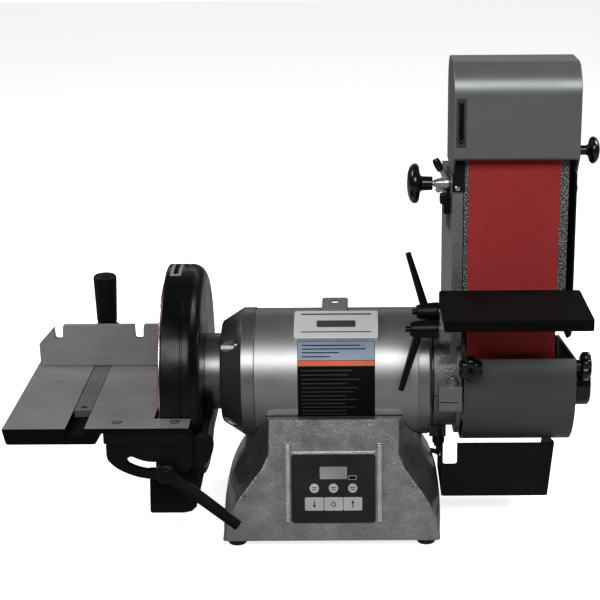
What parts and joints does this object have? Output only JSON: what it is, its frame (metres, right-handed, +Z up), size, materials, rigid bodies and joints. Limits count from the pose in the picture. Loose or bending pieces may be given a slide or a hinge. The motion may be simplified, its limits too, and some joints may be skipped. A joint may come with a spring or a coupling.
{
  "type": "belt disc sander",
  "caption": "Bench machine with a vertical sanding belt on one end of a motor and a sanding disc with a tilting table on the other, on a cast base with a speed panel.",
  "frame": {"origin": "middle of the whole machine's footprint, on the bench, belt table and disc table included", "axes": "+X along the motor shaft towards the belt, +Y away from the operator, +Z up"},
  "size_m": [0.6654, 0.3428, 0.553],
  "materials": {
    "hammered_grey": "hammered silver-grey paint",
    "motor_grey": "smooth satin grey paint",
    "hood_grey": "satin dark grey paint",
    "black_paint": "semi-gloss black paint",
    "black_cast": "black painted casting",
    "ground_iron": "ground and oiled",
    "steel": "machined steel",
    "zinc": "zinc plated",
    "disc_alloy": "turned",
    "abrasive": "aluminium oxide grit on cloth",
    "graphite": "graphite coated canvas",
    "rubber": "matte",
    "black_plastic": "moulded phenolic",
    "key_grey": "printed membrane key",
    "windings": "varnished copper windings on steel laminations"
  },
  "bodies": {
    "root": {"base_casting": "hammered_grey", "bottom_plate": "black_paint", "speed_controller": "black_plastic", "foot_front_left": "rubber", "foot_back_left": "rubber", "foot_front_right": "rubber", "foot_back_right": "rubber", "cord_inlet": "black_plastic", "control_panel": "black_plastic", "motor_shell": "motor_grey", "disc_end_bell": "motor_grey", "belt_end_bell": "motor_grey", "stator": "windings", "disc_bearing": "steel", "belt_bearing": "steel", "lamp_tab": "motor_grey", "lead_gland": "black_plastic", "motor_lead": "rubber", "disc_guard": "black_cast", "disc_dust_chute": "black_paint", "trunnion_yoke": "black_cast", "belt_dust_chute": "black_paint"},
    "spindle": {"motor_shaft": "steel", "sanding_disc": "disc_alloy", "abrasive_disc": "abrasive", "drive_drum": "disc_alloy"},
    "belt_arm": {"belt_arm": "hammered_grey", "platen": "steel", "graphite_pad": "graphite", "sanding_belt": "abrasive", "upper_hood": "hood_grey", "lower_cover": "hood_grey", "side_panel": "black_paint", "side_cap": "black_plastic", "table_bracket": "hammered_grey"},
    "belt_tension": {"tension_slide": "black_cast", "idler_axle": "steel"},
    "idler": {"idler_roller": "disc_alloy"},
    "tension_lever": {"tension_lever": "zinc"},
    "tracking_knob": {"tracking_knob": "black_plastic"},
    "hood_knob": {"hood_knob": "black_plastic"},
    "cover_knob": {"cover_knob": "black_plastic"},
    "side_cap_knob": {"side_cap_knob": "black_plastic"},
    "belt_table": {"belt_table": "black_paint"},
    "table_tilt_lever": {"table_tilt_lever": "black_cast"},
    "bracket_lever": {"bracket_lever": "black_cast"},
    "disc_table": {"disc_table": "ground_iron", "front_trunnion": "black_cast", "rear_trunnion": "black_cast"},
    "table_lock_lever": {"table_lock_lever": "black_cast"},
    "mitre_slide": {"mitre_bar": "ground_iron"},
    "mitre_head": {"mitre_head": "hood_grey", "mitre_fence": "ground_iron"},
    "mitre_handle": {"mitre_handle": "black_plastic"},
    "preset_key": {"preset_key": "key_grey"},
    "mode_key": {"mode_key": "key_grey"},
    "timer_key": {"timer_key": "key_grey"},
    "slower_key": {"slower_key": "key_grey"},
    "power_key": {"power_key": "key_grey"},
    "faster_key": {"faster_key": "key_grey"}
  },
  "joints": [
    {"name": "spindle_spin", "type": "hinge", "parent": "root", "child": "spindle", "pos_m": [0.0287, 0.01135, 0.18], "axis": [1, 0, 0], "continuous": true},
    {"name": "belt_arm_tilt", "type": "hinge", "parent": "root", "child": "belt_arm", "pos_m": [0.1637, 0.01135, 0.18], "axis": [-1, 0, 0], "range_deg": [0, 90]},
    {"name": "belt_tension_slide", "type": "slide", "parent": "belt_arm", "child": "belt_tension", "axis": [0, 0, 1], "range_m": [-0.008, 0]},
    {"name": "idler_spin", "type": "hinge", "parent": "belt_tension", "child": "idler", "pos_m": [0.2353, -0.01515, 0.4833], "axis": [1, 0, 0], "continuous": true},
    {"name": "tension_lever_turn", "type": "hinge", "parent": "belt_arm", "child": "tension_lever", "pos_m": [0.1567, -0.01665, 0.4125], "axis": [1, 0, 0], "range_deg": [0, 90]},
    {"name": "tracking_knob_turn", "type": "hinge", "parent": "belt_arm", "child": "tracking_knob", "pos_m": [0.1287, -0.01665, 0.4125], "axis": [1, 0, 0], "range_deg": [-180, 180]},
    {"name": "hood_knob_turn", "type": "hinge", "parent": "belt_arm", "child": "hood_knob", "pos_m": [0.3187, -0.01865, 0.45], "axis": [1, 0, 0], "range_deg": [-180, 180]},
    {"name": "cover_knob_turn", "type": "hinge", "parent": "belt_arm", "child": "cover_knob", "pos_m": [0.1872, -0.07865, 0.213], "axis": [0, 1, 0], "range_deg": [-180, 180]},
    {"name": "side_cap_knob_turn", "type": "hinge", "parent": "belt_arm", "child": "side_cap_knob", "pos_m": [0.3187, -0.05465, 0.2065], "axis": [1, 0, 0], "range_deg": [-180, 180]},
    {"name": "belt_table_tilt", "type": "hinge", "parent": "belt_arm", "child": "belt_table", "pos_m": [0.1727, -0.06065, 0.274], "axis": [1, 0, 0], "range_deg": [0, 45]},
    {"name": "table_tilt_lever_turn", "type": "hinge", "parent": "belt_arm", "child": "table_tilt_lever", "pos_m": [0.1387, -0.06065, 0.274], "axis": [1, 0, 0], "range_deg": [-60, 40]},
    {"name": "bracket_lever_turn", "type": "hinge", "parent": "belt_arm", "child": "bracket_lever", "pos_m": [0.1337, -0.07865, 0.259], "axis": [-1, 0, 0], "range_deg": [0, 90]},
    {"name": "disc_table_tilt", "type": "hinge", "parent": "root", "child": "disc_table", "pos_m": [-0.1683, -0.13365, 0.1683], "axis": [0, -1, 0], "range_deg": [0, 45]},
    {"name": "table_lock_lever_turn", "type": "hinge", "parent": "root", "child": "table_lock_lever", "pos_m": [-0.1533, -0.14715, 0.1155], "axis": [0, 1, 0], "range_deg": [-20, 60]},
    {"name": "mitre_slide", "type": "slide", "parent": "disc_table", "child": "mitre_slide", "axis": [0, 1, 0], "range_m": [-0.18, 0.05]},
    {"name": "mitre_swivel", "type": "hinge", "parent": "mitre_slide", "child": "mitre_head", "pos_m": [-0.2488, 0.09635, 0.18], "axis": [0, 0, 1], "range_deg": [-45, 45]},
    {"name": "mitre_handle_turn", "type": "hinge", "parent": "mitre_head", "child": "mitre_handle", "pos_m": [-0.2488, 0.09635, 0.24], "axis": [0, 0, 1], "range_deg": [-180, 180]},
    {"name": "preset_key_press", "type": "slide", "parent": "root", "child": "preset_key", "axis": [0, 0.9765, -0.2154], "range_m": [0, 0.0006], "stiffness_N_per_m": 600},
    {"name": "mode_key_press", "type": "slide", "parent": "root", "child": "mode_key", "axis": [0, 0.9765, -0.2154], "range_m": [0, 0.0006], "stiffness_N_per_m": 600},
    {"name": "timer_key_press", "type": "slide", "parent": "root", "child": "timer_key", "axis": [0, 0.9765, -0.2154], "range_m": [0, 0.0006], "stiffness_N_per_m": 600},
    {"name": "slower_key_press", "type": "slide", "parent": "root", "child": "slower_key", "axis": [0, 0.9765, -0.2154], "range_m": [0, 0.0006], "stiffness_N_per_m": 600},
    {"name": "power_key_press", "type": "slide", "parent": "root", "child": "power_key", "axis": [0, 0.9765, -0.2154], "range_m": [0, 0.0006], "stiffness_N_per_m": 600},
    {"name": "faster_key_press", "type": "slide", "parent": "root", "child": "faster_key", "axis": [0, 0.9765, -0.2154], "range_m": [0, 0.0006], "stiffness_N_per_m": 600}
  ],
  "couplings": [
    {"joint": "idler_spin", "follows": "spindle_spin", "ratio": 1.7382},
    {"joint": "tension_lever_turn", "follows": "belt_tension_slide", "rad_per_m": -196.3}
  ]
}
